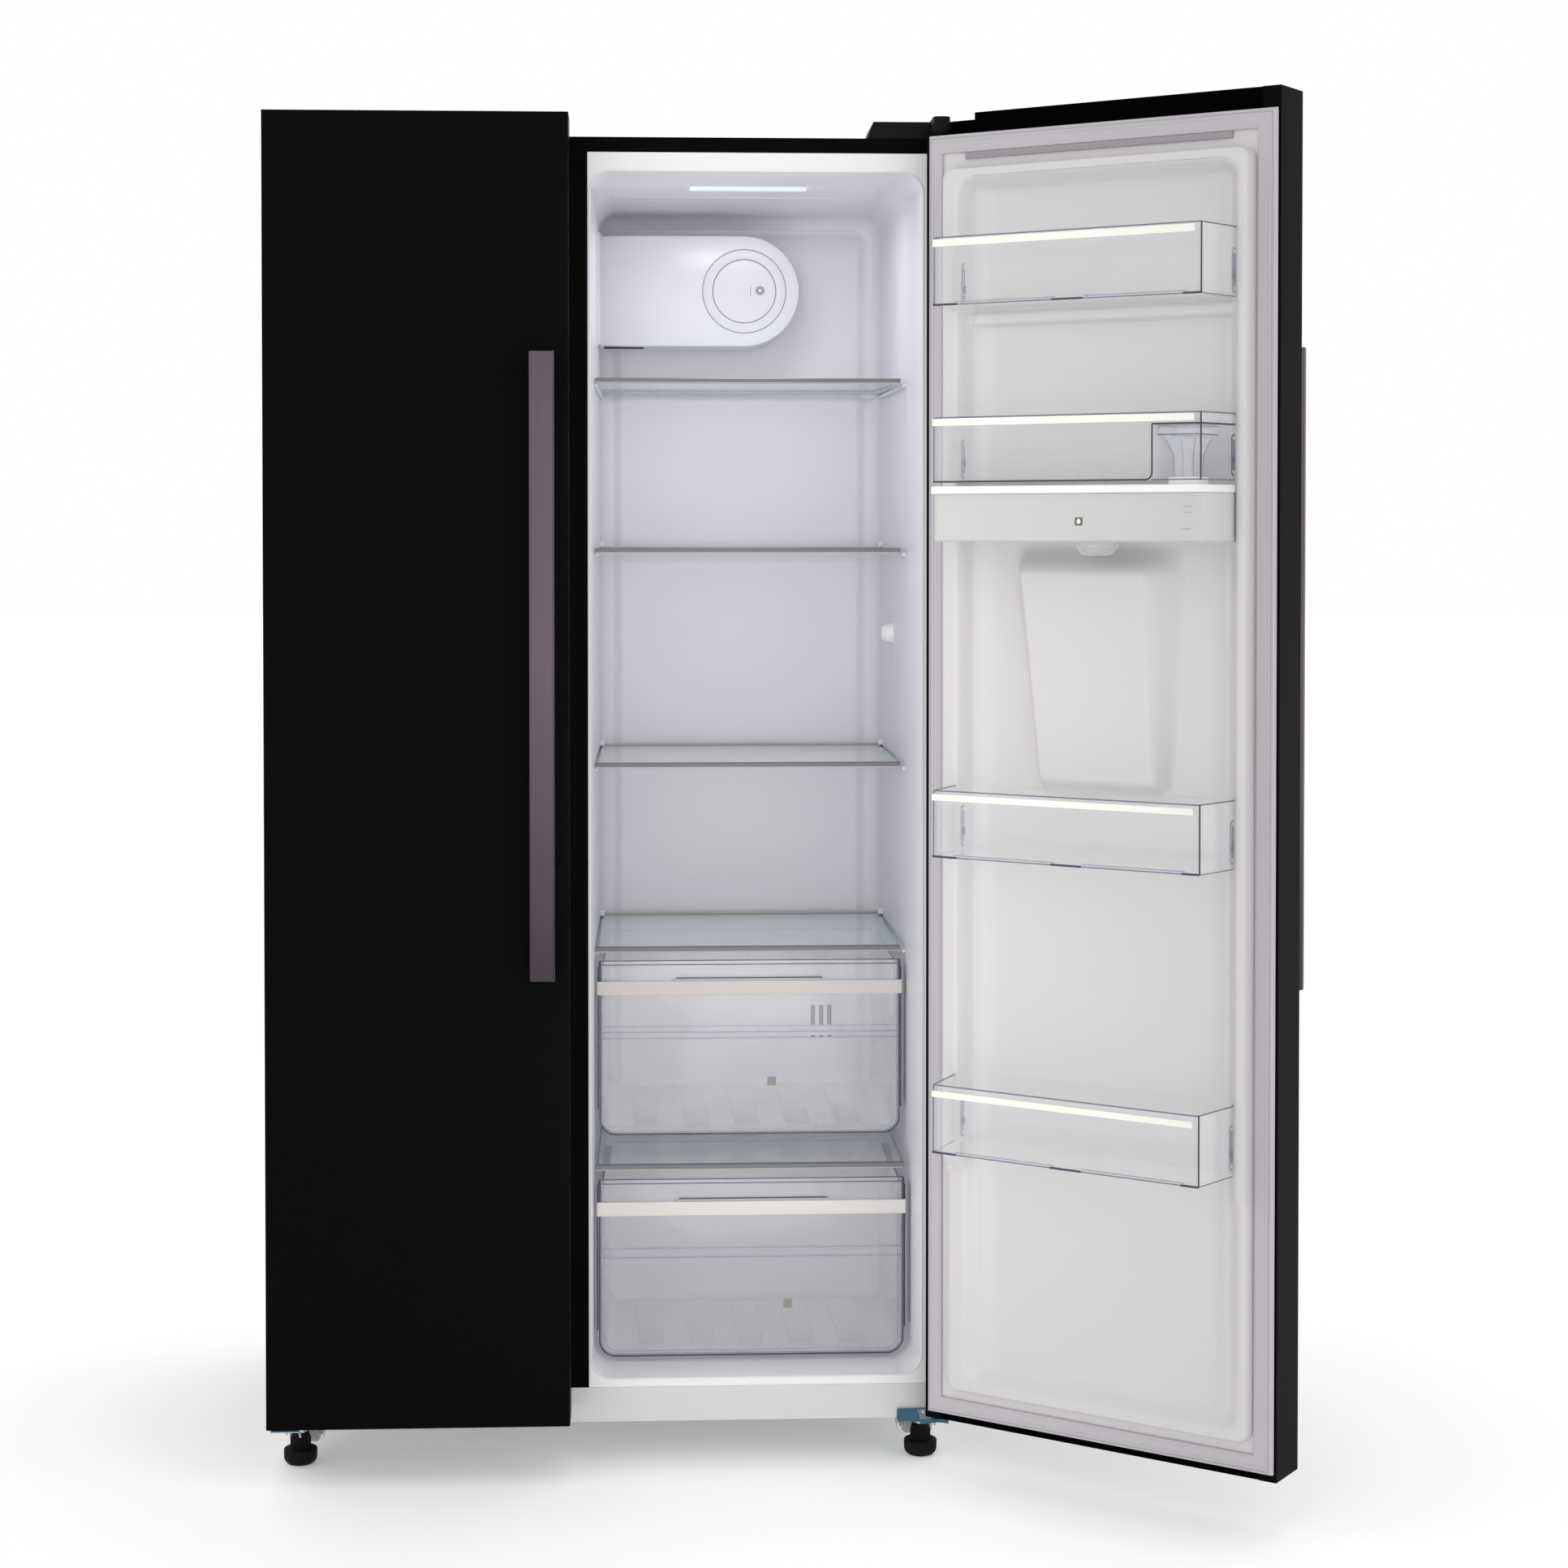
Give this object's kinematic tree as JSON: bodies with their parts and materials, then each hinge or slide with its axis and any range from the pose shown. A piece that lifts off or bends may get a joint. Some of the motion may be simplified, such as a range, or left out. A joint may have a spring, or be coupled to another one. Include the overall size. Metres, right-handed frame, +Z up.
{
  "type": "side by side refrigerator",
  "caption": "Tall black side by side refrigerator, narrow freezer door closed, wide fridge door open on glass shelves and crispers, with bins and a water tank inside the door.",
  "frame": {"origin": "bottom centre of the whole object with its right door open, on the floor", "axes": "+Z up, +Y from the door fronts to the back, +X to the right as seen from the front"},
  "size_m": [1.3456, 1.0014, 1.82],
  "materials": {
    "case_steel": "satin",
    "door_steel": "satin",
    "insulation_foam": "matte",
    "door_core": "matte",
    "liner_plastic": "satin",
    "door_liner_plastic": "satin",
    "grey_plastic": "satin",
    "black_plastic": "matte",
    "white_plastic": "satin",
    "clear_plastic": "gloss",
    "tank_plastic": "satin",
    "shelf_glass": "gloss",
    "gasket_vinyl": "satin",
    "zinc_steel": "satin",
    "galvanised_steel": "matte",
    "compressor_steel": "satin",
    "aluminium": "satin",
    "handle_bronze": "satin",
    "roller_nylon": "satin",
    "foot_rubber": "matte"
  },
  "bodies": {
    "cabinet": {"outer_case": "case_steel", "cabinet_insulation": "insulation_foam", "fridge_liner": "liner_plastic", "freezer_liner": "liner_plastic", "centre_mullion": "case_steel", "plinth": "grey_plastic", "base_pan": "galvanised_steel", "back_panel": "galvanised_steel", "machine_bay_cover": "galvanised_steel", "compressor": "compressor_steel", "evaporator_coil": "aluminium", "evaporator_cover": "liner_plastic", "air_duct_cover": "liner_plastic", "fridge_shelf_1": "shelf_glass", "fridge_shelf_2": "shelf_glass", "fridge_shelf_3": "shelf_glass", "fridge_shelf_4": "shelf_glass", "crisper_shelf": "shelf_glass", "freezer_shelf_1": "shelf_glass", "freezer_shelf_2": "shelf_glass", "freezer_drawer_upper": "clear_plastic", "freezer_drawer_lower": "clear_plastic", "top_hinge_left": "zinc_steel", "hinge_cover_left": "black_plastic", "bottom_hinge_left": "zinc_steel", "top_hinge_right": "zinc_steel", "hinge_cover_right": "black_plastic", "bottom_hinge_right": "zinc_steel"},
    "left_door": {"left_door_skin": "door_steel", "left_door_core": "door_core", "left_door_liner": "door_liner_plastic", "left_door_gasket": "gasket_vinyl", "left_door_handle": "handle_bronze", "freezer_door_bin_1": "clear_plastic", "freezer_door_bin_2": "clear_plastic", "freezer_door_bin_3": "clear_plastic"},
    "right_door": {"right_door_skin": "door_steel", "right_door_core": "door_core", "right_door_liner": "door_liner_plastic", "right_door_gasket": "gasket_vinyl", "right_door_handle": "handle_bronze", "door_bin_1": "clear_plastic", "door_bin_2": "clear_plastic", "door_bin_3": "clear_plastic", "door_bin_4": "clear_plastic", "water_tank": "tank_plastic", "water_tank_lid": "white_plastic", "water_tank_filler": "clear_plastic", "dispenser_housing": "black_plastic", "drip_tray": "black_plastic"},
    "dispenser_paddle": {"dispenser_paddle": "grey_plastic"},
    "evaporator_fan": {"evaporator_fan": "black_plastic"},
    "front_roller_left": {"front_roller_left": "roller_nylon"},
    "front_roller_right": {"front_roller_right": "roller_nylon"},
    "levelling_foot_left": {"levelling_foot_left": "foot_rubber"},
    "levelling_foot_right": {"levelling_foot_right": "foot_rubber"},
    "lower_crisper": {"lower_crisper": "clear_plastic"},
    "rear_roller_left": {"rear_roller_left": "roller_nylon"},
    "rear_roller_right": {"rear_roller_right": "roller_nylon"},
    "upper_crisper": {"upper_crisper": "clear_plastic"}
  },
  "joints": [
    {"name": "left_door_swing", "type": "hinge", "parent": "cabinet", "child": "left_door", "pos_m": [-0.66354, -0.1275, 0.9], "axis": [0, 0, -1], "range_deg": [0, 140]},
    {"name": "right_door_swing", "type": "hinge", "parent": "cabinet", "child": "right_door", "pos_m": [0.22786, -0.1275, 0.9], "axis": [0, 0, 1], "range_deg": [-144.3, 0]},
    {"name": "upper_crisper_slide", "type": "slide", "parent": "cabinet", "child": "upper_crisper", "axis": [0, -1, 0], "range_m": [0, 0.22]},
    {"name": "lower_crisper_slide", "type": "slide", "parent": "cabinet", "child": "lower_crisper", "axis": [0, -1, 0], "range_m": [0, 0.2]},
    {"name": "dispenser_paddle_pivot", "type": "hinge", "parent": "right_door", "child": "dispenser_paddle", "pos_m": [0.43125, -0.30493, 1.192], "axis": [-0.8121, 0.5835, 0], "range_deg": [0, 7], "stiffness_Nm_per_rad": 0.4},
    {"name": "evaporator_fan_spin", "type": "hinge", "parent": "cabinet", "child": "evaporator_fan", "pos_m": [-0.46684, 0.4099, 0.96], "axis": [0, 1, 0], "continuous": true},
    {"name": "levelling_foot_left_turn", "type": "hinge", "parent": "cabinet", "child": "levelling_foot_left", "pos_m": [-0.64084, -0.0531, 0.02], "axis": [0, 0, 1], "continuous": true},
    {"name": "front_roller_left_spin", "type": "hinge", "parent": "cabinet", "child": "front_roller_left", "pos_m": [-0.64084, 0.0039, 0.034], "axis": [1, 0, 0], "continuous": true},
    {"name": "rear_roller_left_spin", "type": "hinge", "parent": "cabinet", "child": "rear_roller_left", "pos_m": [-0.64084, 0.4569, 0.022], "axis": [1, 0, 0], "continuous": true},
    {"name": "levelling_foot_right_turn", "type": "hinge", "parent": "cabinet", "child": "levelling_foot_right", "pos_m": [0.20516, -0.0531, 0.02], "axis": [0, 0, 1], "continuous": true},
    {"name": "front_roller_right_spin", "type": "hinge", "parent": "cabinet", "child": "front_roller_right", "pos_m": [0.20516, 0.0039, 0.034], "axis": [1, 0, 0], "continuous": true},
    {"name": "rear_roller_right_spin", "type": "hinge", "parent": "cabinet", "child": "rear_roller_right", "pos_m": [0.20516, 0.4569, 0.022], "axis": [1, 0, 0], "continuous": true}
  ]
}
